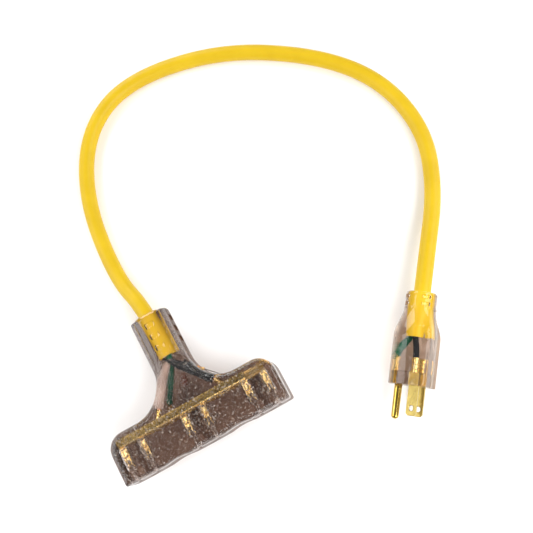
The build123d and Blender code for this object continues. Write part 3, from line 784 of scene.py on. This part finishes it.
def make_shell():
    """The overmoulded T, rounded at its rims, thinner and rounder towards the neck."""
    outline = bar_outline()
    edge = 3.4 * MM
    rings = []
    arc = range(7)
    for upper in (False, True):
        for k in arc if upper else reversed(arc):
            turn = math.radians(15 * k)
            level = HALF_HEIGHT - FLOOR_GAP - edge + edge * math.sin(turn)
            inset = edge * (1 - math.cos(turn))
            z = MIDDLE + (level if upper else -level)
            rings.append([Vector((x, y, z)) for x, y in inset_loop(outline, inset)])
    piece = skin("block_shell", rings, SHELL)
    remesh = piece.modifiers.new("remesh", "REMESH")
    remesh.mode = "VOXEL"
    remesh.voxel_size = 0.6 * MM
    apply_modifiers(piece)
    for vertex in piece.data.vertices:
        shape_neck(vertex.co)
    soften(piece, 5)
    cut(piece, window_cutters() + outlet_cutters())
    shade(piece, 50)
    placed(piece, "block_body")


def shape_neck(place):
    """Slopes the broad faces down to the neck and rounds the neck's section."""
    slope = smoothstep(FRONT + BAR_DEPTH - 4 * MM, FRONT + 58 * MM, place.y)
    scale = 1 - slope * (1 - NECK_HALF_HEIGHT / HALF_HEIGHT)
    place.z = MIDDLE + (place.z - MIDDLE) * scale
    rounding = smoothstep(FRONT + 40 * MM, FRONT + 60 * MM, place.y)
    if rounding > 0:
        u, v = place.x / HALF_NECK, (place.z - MIDDLE) / NECK_HALF_HEIGHT
        size = (abs(u) ** NECK_POWER + abs(v) ** NECK_POWER) ** (1 / NECK_POWER)
        reach = max(abs(u), abs(v))
        if size > 1e-6 and abs(u) <= 1.3:
            factor = 1 - rounding * (1 - reach / size)
            place.x *= factor
            place.z = MIDDLE + (place.z - MIDDLE) * factor


def apply_modifiers(piece):
    bpy.context.view_layer.update()
    graph = bpy.context.evaluated_depsgraph_get()
    mesh = bpy.data.meshes.new_from_object(piece.evaluated_get(graph))
    piece.modifiers.clear()
    piece.data = mesh


def soften(piece, rounds):
    work = bmesh.new()
    work.from_mesh(piece.data)
    for _ in range(rounds):
        bmesh.ops.smooth_vert(work, verts=work.verts, factor=0.5, use_axis_x=True,
                              use_axis_y=True, use_axis_z=True)
    work.to_mesh(piece.data)
    work.free()


def rounded_box(centre, size, radius, turn=Matrix()):
    """A box with rounded edges, as a loose mesh object to cut with."""
    work = bmesh.new()
    bmesh.ops.create_cube(work, size=1.0)
    bmesh.ops.scale(work, vec=size, verts=work.verts)
    bmesh.ops.bevel(work, geom=list(work.edges), offset=radius, segments=3, profile=0.5,
                    affect="EDGES")
    bmesh.ops.transform(work, matrix=Matrix.Translation(centre) @ turn, verts=work.verts)
    mesh = bpy.data.meshes.new("cutter")
    work.to_mesh(mesh)
    work.free()
    cutter = bpy.data.objects.new("cutter", mesh)
    bpy.context.scene.collection.objects.link(cutter)
    return cutter


def window_cutters():
    """Pockets on the four sides of the neck, in three rows."""
    cutters = []
    deep, long = 12 * MM, 4.0 * MM
    for row in WINDOW_ROWS:
        for k in range(4):
            turn = Matrix.Rotation(math.radians(90 * k), 4, "Y")
            centre = Vector((0, FRONT + row, CORD_LEVEL)) + turn @ Vector((WINDOW_FLOOR + deep / 2, 0, 0))
            upright = k % 2 == 1
            wide, corner = (6.4 * MM, 1.1 * MM) if upright else (9.0 * MM, 0.5 * MM)
            if upright:
                centre += turn @ Vector((1.4 * MM, 0, 0))
            cutters.append(rounded_box(centre, (deep, long, wide), corner, turn))
    return cutters


def flat_cutter(points, low, high):
    """A prism to cut with: an outline of X and Z, from the depth low to the depth high."""
    count = len(points)
    corners = [Vector((x, low, z)) for x, z in points] + [Vector((x, high, z)) for x, z in points]
    faces = [tuple(range(count)), tuple(range(2 * count - 1, count - 1, -1))]
    faces += [(i, i + count, (i + 1) % count + count, (i + 1) % count) for i in range(count)]
    return new_object("cutter", mesh_from("cutter", corners, faces), smooth=False)


def rounded_outline(x, z, wide, tall, corner, steps=6):
    """A rounded rectangle of X and Z places."""
    points = []
    for k, (sx, sz) in enumerate(((1, 1), (-1, 1), (-1, -1), (1, -1))):
        for step in range(steps + 1):
            turn = math.radians(90 * k + 90 * step / steps)
            points.append((x + sx * (wide / 2 - corner) + corner * math.cos(turn),
                           z + sz * (tall / 2 - corner) + corner * math.sin(turn)))
    return points


def opening_cutters(x, start):
    """Slots, ground hole and the chambers behind them, of the outlet at x."""
    wall, end = FRONT + FACE_WALL, FRONT + CHAMBER_END
    cutters = []
    for side, tall in ((-1, NEUTRAL_SLOT_HEIGHT), (1, HOT_SLOT_HEIGHT)):
        middle = x + side * SLOT_OFFSET
        slot = rounded_outline(middle, SLOT_LEVEL, SLOT_WIDTH, tall, 0.35 * MM, 3)
        cutters.append(flat_cutter(slot, start, wall + 0.5 * MM))
        chamber = rounded_outline(middle, SLOT_LEVEL, CHAMBER_WIDTH, CHAMBER_HEIGHT, 0.8 * MM, 3)
        cutters.append(flat_cutter(chamber, wall, end))
    for radius, low, high in ((GROUND_HOLE_RADIUS, start, wall + 0.5 * MM),
                              (GROUND_CHAMBER_RADIUS, wall, end)):
        hole = rounded_outline(x, GROUND_LEVEL, 2 * radius, 2 * radius, radius - 0.01 * MM, 10)
        cutters.append(flat_cutter(hole, low, high))
    return cutters


def outlet_cutters():
    """Seats of the outlet faces, a hair smaller than them, and the openings behind them."""
    cutters = []
    for x in OUTLET_X:
        seat = rounded_outline(x, MIDDLE, INSERT_WIDTH - 0.06 * MM, INSERT_HEIGHT - 0.06 * MM,
                               INSERT_CORNER, 8)
        cutters.append(flat_cutter(seat, FRONT - 5 * MM, FRONT + PLATE_DEPTH - 0.03 * MM))
        cutters += opening_cutters(x, FRONT + PLATE_DEPTH - 0.5 * MM)
    return cutters


def make_outlet_faces():
    """The face of each outlet's core, with its two slots and its ground hole."""
    for side, x in zip(("left", "centre", "right"), OUTLET_X):
        outline = rounded_outline(x, MIDDLE, INSERT_WIDTH, INSERT_HEIGHT, INSERT_CORNER, 8)
        rim = 0.5 * MM
        small = rounded_outline(x, MIDDLE, INSERT_WIDTH - 2 * rim, INSERT_HEIGHT - 2 * rim,
                                INSERT_CORNER - rim, 8)
        back = [Vector((px, FRONT + PLATE_DEPTH, pz)) for px, pz in outline]
        middle = [Vector((px, FRONT + rim, pz)) for px, pz in outline]
        front = [Vector((px, FRONT + 0.05 * MM, pz)) for px, pz in small]
        piece = skin(f"outlet_face_{side}", [back, middle, front], CORE)
        cut(piece, opening_cutters(x, FRONT - 3 * MM))
        shade(piece, 30)
        placed(piece, f"outlet_insert_{side}")


def cut(piece, cutters):
    """Takes the cutters' shapes out of a piece."""
    for cutter in cutters:
        fix_normals(cutter)
        step = piece.modifiers.new("cut", "BOOLEAN")
        step.operation = "DIFFERENCE"
        step.solver = "EXACT"
        step.object = cutter
    apply_modifiers(piece)
    for cutter in cutters:
        bpy.data.objects.remove(cutter)


make_shell()
make_outlet_faces()


# ---------------------------------------------------------------- strips and contacts
def bent_sheet(path, thickness, low, high, along="X", steps=1, wobble=0.0):
    """Sheet metal: a line of (depth, level) or (x, depth) places, thickened and drawn out."""
    left, right = [], []
    for k, place in enumerate(path):
        before, after = Vector(path[max(k - 1, 0)]), Vector(path[min(k + 1, len(path) - 1)])
        run = (after - before).normalized()
        normal = Vector((-run.y, run.x)) * thickness / 2
        left.append(Vector(place) + normal)
        right.append(Vector(place) - normal)
    loop = left + right[::-1]
    rings = []
    for k in range(steps + 1):
        share = low + (high - low) * k / steps
        ripple = wobble * math.sin(2.1 * k) * math.sin(0.7 * k)
        if along == "X":
            rings.append([Vector((share, FRONT + a, b + ripple)) for a, b in loop])
        else:
            rings.append([Vector((a, FRONT + b + ripple, share)) for a, b in loop])
    return rings


def merged(name, parts, material, node):
    """One brass piece made of several closed skins, with fine bevels."""
    points, faces = [], []
    for rings in parts:
        base, count = len(points), len(rings[0])
        for ring in rings:
            points += ring
        faces += capped_faces(base, count, len(rings))
    piece = new_object(name, mesh_from(name, points, faces), material)
    fix_normals(piece)
    step = piece.modifiers.new("edges", "BEVEL")
    step.width = 0.08 * MM
    step.segments = 2
    step.limit_method = "ANGLE"
    step.angle_limit = math.radians(40)
    apply_modifiers(piece)
    shade(piece, 40)
    return placed(piece, node)


def make_strips():
    """The three strips, each with a flange bent over a round edge."""
    radius = 1.3 * MM
    # the hot strip is wholly of the bright copy of brass, a painted highlight
    for name, left, right, level, flange, up, flat in (
        ("neutral_bus", -51.0, 38.0, NEUTRAL_LEVEL, 2.6, -1, SHADED_BRASS),
        ("hot_bus", -37.0, 50.5, HOT_LEVEL, 3.2, 1, CRINKLED_LIT_BRASS),
        ("ground_bus", -45.0, 45.0, EARTH_LEVEL, 4.0, 1, SHADED_BRASS),
    ):
        arc = arc_path((STRIP_FRONT + radius, level + up * radius), radius, -90 * up, -180 * up)
        path = [(STRIP_BACK, level)] + arc + [(STRIP_FRONT, level + up * flange * MM)]
        sheet = bent_sheet(path, 0.8 * MM, left * MM, right * MM, steps=90, wobble=0.04 * MM)
        piece = merged(f"{name}_strip", [sheet], flat, name)
        # painted highlight: faces turned to the front, the bend and the flange, take the bright copy of
        # brass
        piece.data.materials.append(CRINKLED_LIT_BRASS)
        for face in piece.data.polygons:
            if face.normal.y < -0.2:
                face.material_index = 1


def clip(x, level, height, spread):
    """A folded clip: two sprung leaves joined at the root and, part of the way, by a roof."""
    leaf, run = 0.55 * MM, CLIP_MOUTH - CLIP_ROOT
    top, wide = level + height, spread + leaf / 2
    parts = []
    for side in (-1, 1):
        path = []
        for share, gap in ((0.0, 1.0), (0.25, 1.05), (0.5, 0.98), (0.75, 0.62), (0.88, 0.66), (1.0, 1.25)):
            path.append((x + side * spread * gap, CLIP_ROOT + run * share))
        parts.append(bent_sheet(path, leaf, level, top, along="Z"))
    root = [(x - spread, CLIP_ROOT), (x + spread, CLIP_ROOT)]
    parts.append(bent_sheet(root, leaf, level, top, along="Z"))
    for low, high, rise in ((0.08, 0.42, 0.0), (0.46, 0.62, -0.25)):
        path = [(CLIP_ROOT + run * share, top + (rise + lift) * MM)
                for share, lift in ((low, -0.3), (low + 0.04, 0.0), (high - 0.04, 0.25), (high, -0.4))]
        parts.append(bent_sheet(path, 0.5 * MM, x - wide, x + wide, steps=6, wobble=0.25 * MM))
    return parts


def make_contacts():
    """Clips for the blades and split tubes for the ground pins."""
    neutral, hot, ground = [], [], []
    for x in OUTLET_X:
        neutral += clip(x - SLOT_OFFSET, 17.2 * MM, 6.6 * MM, 1.9 * MM)
        hot += clip(x + SLOT_OFFSET, 16.2 * MM, 6.0 * MM, 1.7 * MM)
        for start, end in ((100, 258), (282, 440)):
            rings = []
            for k in range(9):
                share = k / 8
                grown = 1 + 0.16 * max(0.0, share - 0.75) * 4 - 0.10 * smoothstep(0.3, 0.75, share)
                depth = FRONT + (22.0 - 13.4 * share) * MM
                outer = arc_path((x, GROUND_LEVEL), 3.2 * MM * grown, start, end, 12)
                inner = arc_path((x, GROUND_LEVEL), 2.7 * MM * grown, end, start, 12)
                rings.append([Vector((a, depth, b)) for a, b in outer + inner])
            ground.append(rings)
    # the clips and sockets are of the bright copy of brass, a painted highlight
    merged("neutral_clips", neutral, CRINKLED_LIT_BRASS, "neutral_contacts")
    merged("hot_clips", hot, CRINKLED_LIT_BRASS, "hot_contacts")
    merged("ground_sockets", ground, CRINKLED_LIT_BRASS, "ground_contacts")


make_strips()
make_contacts()


# ---------------------------------------------------------------- plug shell
def plug_outline():
    """The plug's section: round on the ground side, flat on the blade side."""
    middle, bend = PLUG_BACK + PLUG_HALF, PLUG_FRONT - PLUG_CORNER
    level = PLUG_HALF - PLUG_CORNER
    points = arc_path((middle, 0), PLUG_HALF, 90, 270, 48)
    points += [(middle + (bend - middle) * k / 9, -PLUG_HALF) for k in range(1, 9)]
    points += arc_path((bend, -level), PLUG_CORNER, -90, 0, 8)
    points += [(PLUG_FRONT, -level + 2 * level * k / 12) for k in range(1, 12)]
    points += arc_path((bend, level), PLUG_CORNER, 0, 90, 24)
    points += [(bend + (middle - bend) * k / 9, PLUG_HALF) for k in range(1, 9)]
    return points


def make_plug_shell():
    """The collar with its lip, the taper and the body, as one skin, with the collar's pockets."""
    body = plug_outline()
    dome, last = 1.8 * MM, FACE_AT - 0.05 * MM
    levels = [(dome * (1 - math.cos(math.radians(15 * k))), 0.0,
               -dome * (1 - math.sin(math.radians(15 * k)))) for k in range(7)]
    for along in (3.5, 5.5, 7.5, 9.0, 9.6):
        levels.append((along * MM, 0.0, 0.0))
    for along, rise in ((9.8, 0.25), (10.1, 0.38), (10.5, 0.4), (10.9, 0.3), (11.2, 0.05)):
        levels.append((along * MM, 0.0, rise * MM))
    taper, steps = 11.4 * MM, 16
    for k in range(1, steps + 1):
        share = k / steps
        levels.append((taper + (SHOULDER_AT - taper) * share, smoothstep(-0.12, 1.0, share), 0.0))
    steps = 120
    for k in range(1, steps):
        levels.append((SHOULDER_AT + (last - 0.6 * MM - SHOULDER_AT) * k / steps, 1.0, 0.0))
    edge = 0.5 * MM
    for k in range(5):
        turn = math.radians(22.5 * k)
        levels.append((last - edge + edge * math.sin(turn), 1.0, -edge * (1 - math.cos(turn))))
    rings = []
    for along, grown, rise in levels:
        ring = []
        for x, y in body:
            angle = math.atan2(y, x)
            reach = math.hypot(x, y)
            size = COLLAR_RADIUS + (reach - COLLAR_RADIUS) * grown + rise
            size += grip(math.degrees(angle), along)
            ring.append(in_plug(size * math.cos(angle), size * math.sin(angle), along))
        rings.append(ring)
    piece = skin("plug_shell", rings, PLUG_CLEAR)
    cut(piece, plug_windows())
    shade(piece, 40)
    return placed(piece, "plug_body")


def grip(angle, along):
    """Height of the ribs on the upper flank of the ground side, and of the moulding seam."""
    across = smoothstep(120, 126, angle) * (1 - smoothstep(144, 150, angle))
    reach = smoothstep(GRIP_START, GRIP_START + 1 * MM, along)
    reach *= 1 - smoothstep(GRIP_END - 1 * MM, GRIP_END, along)
    ribs = 0.5 - 0.5 * math.cos(2 * math.pi * (along - GRIP_START) / GRIP_PITCH)
    seam = math.exp(-((angle - 40) / 1.6) ** 2) * smoothstep(SHOULDER_AT, SHOULDER_AT + 3 * MM, along)
    return 0.35 * MM * across * reach * ribs + 0.35 * MM * seam


def plug_windows():
    """Two rows of four pockets in the collar."""
    cutters = []
    deep = 8 * MM
    for row in COLLAR_WINDOW_ROWS:
        for k in range(4):
            turn = Matrix.Rotation(math.radians(90 * k + COLLAR_WINDOW_TURN), 4, "Z")
            centre = turn @ Vector((COLLAR_WINDOW_FLOOR + deep / 2, 0, 0)) + Vector((0, 0, row))
            cutter = rounded_box(centre, (deep, 5.4 * MM, 2.4 * MM), 0.8 * MM, turn)
            cutter.data.transform(PLUG_FRAME)
            cutters.append(cutter)
    return cutters


plug_shell = make_plug_shell()


# ---------------------------------------------------------------- blades and pin
def make_blade(node, up):
    """A flat blade with chamfered tip, hole and bevelled edges, and its crimp barrel."""
    half, chamfer, edge = BLADE_WIDTH / 2, 1.3 * MM, 0.22 * MM
    rings = []
    for side, inset in ((-1, edge), (-1, 0.0), (1, 0.0), (1, edge)):
        wide, tip = half - inset, BLADE_TIP - inset
        outline = [(-wide, BLADE_ROOT), (wide, BLADE_ROOT), (wide, BLADE_TIP - chamfer),
                   (half - chamfer, tip), (-half + chamfer, tip), (-wide, BLADE_TIP - chamfer)]
        level = up + side * (BLADE_THICKNESS / 2 - (edge - inset))
        rings.append([Vector((BLADE_LINE + a, level, along)) for a, along in outline])
    plate = skin(f"{node}_plate", rings, BLADE_BRASS)
    hole_middle = Vector((BLADE_LINE, up, BLADE_HOLE_AT))
    out = Vector((0, BLADE_THICKNESS, 0))
    waist = BLADE_THICKNESS / 2 - 0.2 * MM
    wide = BLADE_HOLE_RADIUS + BLADE_THICKNESS - waist
    profile = [(0, wide), (BLADE_THICKNESS - waist, BLADE_HOLE_RADIUS),
               (BLADE_THICKNESS + waist, BLADE_HOLE_RADIUS), (2 * BLADE_THICKNESS, wide)]
    hole = lathe("hole", hole_middle - out, hole_middle + out, profile, [BLADE_BRASS])
    cut(plate, [hole])
    plate.data.transform(PLUG_FRAME)
    plate.data.polygons.foreach_set("use_smooth", [False] * len(plate.data.polygons))
    barrel = crimped(f"{node}_barrel", in_plug(BLADE_LINE, up, BARREL_START), PLUG_AXIS,
                     BLADE_ROOT - BARREL_START + 0.6 * MM, BARREL_RADIUS, CRINKLED_LIT_BRASS)
    return placed(joined(f"{node}_smooth", [plate, barrel]), node)


def make_pin():
    """The round ground pin with its domed tip, inner shank and crimp barrel."""
    start = in_plug(PIN_LINE, 0, BLADE_ROOT)
    face, tip = FACE_AT - BLADE_ROOT, PIN_TIP - BLADE_ROOT
    dome, radius, shank = 2.2 * MM, 2.4 * MM, 2.0 * MM
    profile = [(0, shank), (face, shank), (face + 0.05 * MM, 2.35 * MM), (face + 0.2 * MM, radius)]
    profile += [(face + (tip - dome - face) * k / 6, radius) for k in range(1, 7)]
    profile += [(tip - dome + dome * math.sin(math.radians(11 * k)),
                 radius * math.cos(math.radians(11 * k))) for k in range(1, 9)]
    pin = lathe("ground_pin_bar", start, start + PLUG_AXIS * tip, profile, [PIN_BRASS])
    barrel = crimped("ground_pin_barrel", in_plug(PIN_LINE, 0, BARREL_START), PLUG_AXIS,
                     BLADE_ROOT - BARREL_START + 0.6 * MM, BARREL_RADIUS, CRINKLED_LIT_BRASS)
    return placed(joined("ground_pin_smooth", [pin, barrel]), "ground_pin")


plug_metal = [make_blade("hot_blade", HALF_SPACING), make_blade("neutral_blade", -HALF_SPACING),
              make_pin()]


# ---------------------------------------------------------------- indicator
def make_lamp(middle, axis):
    """A neon lamp: glass with a drawn tip at one end, a pinch at the other and two electrodes."""
    half, radius = 4.75 * MM, 2.35 * MM
    start = middle - axis * half
    profile = [(0.0, 0.5 * MM), (0.25 * MM, 1.5 * MM), (0.9 * MM, 2.1 * MM), (1.9 * MM, radius),
               (6.6 * MM, radius), (7.6 * MM, 2.1 * MM), (8.4 * MM, 1.4 * MM), (8.9 * MM, 0.7 * MM),
               (9.5 * MM, 0.25 * MM)]
    glass = lathe("lamp_glass", start, start + axis, profile, [LAMP_GLASS])
    side = axis.cross(Vector((0, 0, 1))).normalized()
    rods = []
    for sign in (-1, 1):
        foot = start + side * sign * 0.65 * MM
        rods.append(lathe("lamp_electrode", foot + axis * 0.8 * MM, foot + axis * 7 * MM,
                          [(0, 0.12 * MM), (1.2 * MM, 0.14 * MM), (1.3 * MM, 0.38 * MM),
                           (5.6 * MM, 0.38 * MM), (5.8 * MM, 0.2 * MM)], [ELECTRODE], sides=16))
    return placed(joined("neon_lamp_detail", [glass] + rods), "neon_lamp")


def make_resistor(middle, axis):
    """A resistor with swollen ends and four colour bands."""
    half = 3.15 * MM
    start = middle - axis * half
    profile = []
    for k in range(64):
        share = k / 63
        from_end = min(share, 1 - share)
        swell = math.exp(-((from_end - 0.14) / 0.09) ** 2)
        close = math.sqrt(max(0.0, 1 - (1 - min(1.0, from_end / 0.10)) ** 2))
        profile.append((share * 2 * half, (0.94 + 0.21 * swell) * MM * max(close, 0.25)))
    bands = [(0.75 * MM, 1.25 * MM, 1), (2.0 * MM, 2.45 * MM, 2), (3.0 * MM, 3.45 * MM, 1),
             (4.95 * MM, 5.4 * MM, 3)]
    piece = lathe("resistor_detail", start, start + axis, profile,
                  [RESISTOR_BODY, BAND_BROWN, BAND_ORANGE, BAND_GOLD], bands)
    return placed(piece, "lamp_resistor")


def make_indicator():
    """Lamp, resistor and the three leads that join them to the upper strips."""
    lamp_low, lamp_high = (Vector(c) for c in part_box("neon_lamp"))
    resistor_low, resistor_high = (Vector(c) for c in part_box("lamp_resistor"))
    lamp, resistor = (lamp_low + lamp_high) / 2, (resistor_low + resistor_high) / 2
    along_lamp = Vector((0.25, 1.0, 0.0)).normalized()
    along_resistor = Vector((0.72, -0.69, 0.0)).normalized()
    make_lamp(lamp, along_lamp)
    make_resistor(resistor, along_resistor)
    neutral_end = Vector((0.5 * MM, FRONT + STRIP_BACK, NEUTRAL_LEVEL))
    hot_end = Vector((28.0 * MM, FRONT + STRIP_BACK, HOT_LEVEL))
    out = Vector((0, 2.5 * MM, 0))
    lamp_front, lamp_back = lamp - along_lamp * 4.7 * MM, lamp + along_lamp * 4.7 * MM
    near, far = resistor - along_resistor * 3.1 * MM, resistor + along_resistor * 3.1 * MM
    leads = []
    for k, route in enumerate((
        [lamp_front, lamp_front - along_lamp * 2 * MM, neutral_end + out, neutral_end],
        [lamp_back, lamp_back + along_lamp * 2 * MM, resistor - along_resistor * 6 * MM, near],
        [far, resistor + along_resistor * 8 * MM, hot_end + out, hot_end],
    )):
        leads.append(tube(f"lead_{k}", spline_points(route, 0.5 * MM), 0.3 * MM, TINNED, 16))
    for joint in (neutral_end, hot_end):
        drop = [(0, 0.3 * MM), (0.4 * MM, 0.5 * MM), (0.9 * MM, 0.85 * MM), (1.6 * MM, 0.9 * MM)]
        leads.append(lathe("solder", joint + out * 0.5, joint - out * 0.2, drop, [TINNED], sides=20))
    placed(joined("lead_wires", leads), "lamp_leads")


make_indicator()


# ---------------------------------------------------------------- carried-over pieces
def paint(names, material):
    for name in names:
        for slot in NODES[name].material_slots:
            slot.material = material


paint(["plug_bridge"], BRIDGE)

CORD_LINE = spline_points(ROUTE)
print("cord length", path_length(CORD_LINE))


# ---------------------------------------------------------------- studio
def make_studio():
    """A pale floor, an even sky and four soft lights round the object."""
    reach = 3.0
    corners = [(-reach, -reach, 0), (reach, -reach, 0), (reach, reach, 0), (-reach, reach, 0)]
    pale = solid_material("floor", (0.94, 0.94, 0.94), (0.97, 0.97, 0.97), (0.6, 0.8), blotch=4.0,
                          grain=60.0)
    floor = new_object("floor", mesh_from("floor", corners, [(0, 1, 2, 3)]), pale, False)
    scene = bpy.context.scene
    world = bpy.data.worlds.new("studio")
    world.use_nodes = True
    background = world.node_tree.nodes["Background"]
    background.inputs["Color"].default_value = (1.0, 1.0, 1.0, 1.0)
    background.inputs["Strength"].default_value = 0.28
    scene.world = world
    centre = Vector((0.085, 0.05, 0))
    for name, place, size, power in (
        ("front", (0.22, -0.80, 0.66), 0.7, 9.0),
        ("right", (0.80, -0.20, 0.62), 0.8, 6.6),
        ("left", (-0.80, 0.26, 0.60), 0.8, 6.6),
        ("back", (-0.10, 0.92, 0.46), 0.7, 6.2),
    ):
        light = bpy.data.lights.new(name, "AREA")
        light.shape = "SQUARE"
        light.size = size
        light.energy = power
        lamp = bpy.data.objects.new(name, light)
        lamp.location = centre + Vector(place)
        lamp.rotation_mode = "QUATERNION"
        lamp.rotation_quaternion = (centre - lamp.location).to_track_quat("-Z", "Y")
        scene.collection.objects.link(lamp)
    scene.view_settings.view_transform = "Standard"


def make_camera():
    """Looks down on the floor at the point aim, with upward pointing up in the picture."""
    place = Vector((0.0998, -0.0799, 0.520))
    aim = Vector((0.0810, 0.0387, 0.0))
    upward = Vector((0.4738, 0.8806, 0.0))
    back = (place - aim).normalized()
    right = upward.cross(back).normalized()
    up = back.cross(right)
    data = bpy.data.cameras.new("camera")
    data.lens = 55.1
    data.sensor_width = 36.0
    camera = bpy.data.objects.new("camera", data)
    camera.matrix_world = Matrix.Translation(place) @ Matrix((right, up, back)).transposed().to_4x4()
    bpy.context.scene.collection.objects.link(camera)
    bpy.context.scene.camera = camera


make_studio()
make_camera()
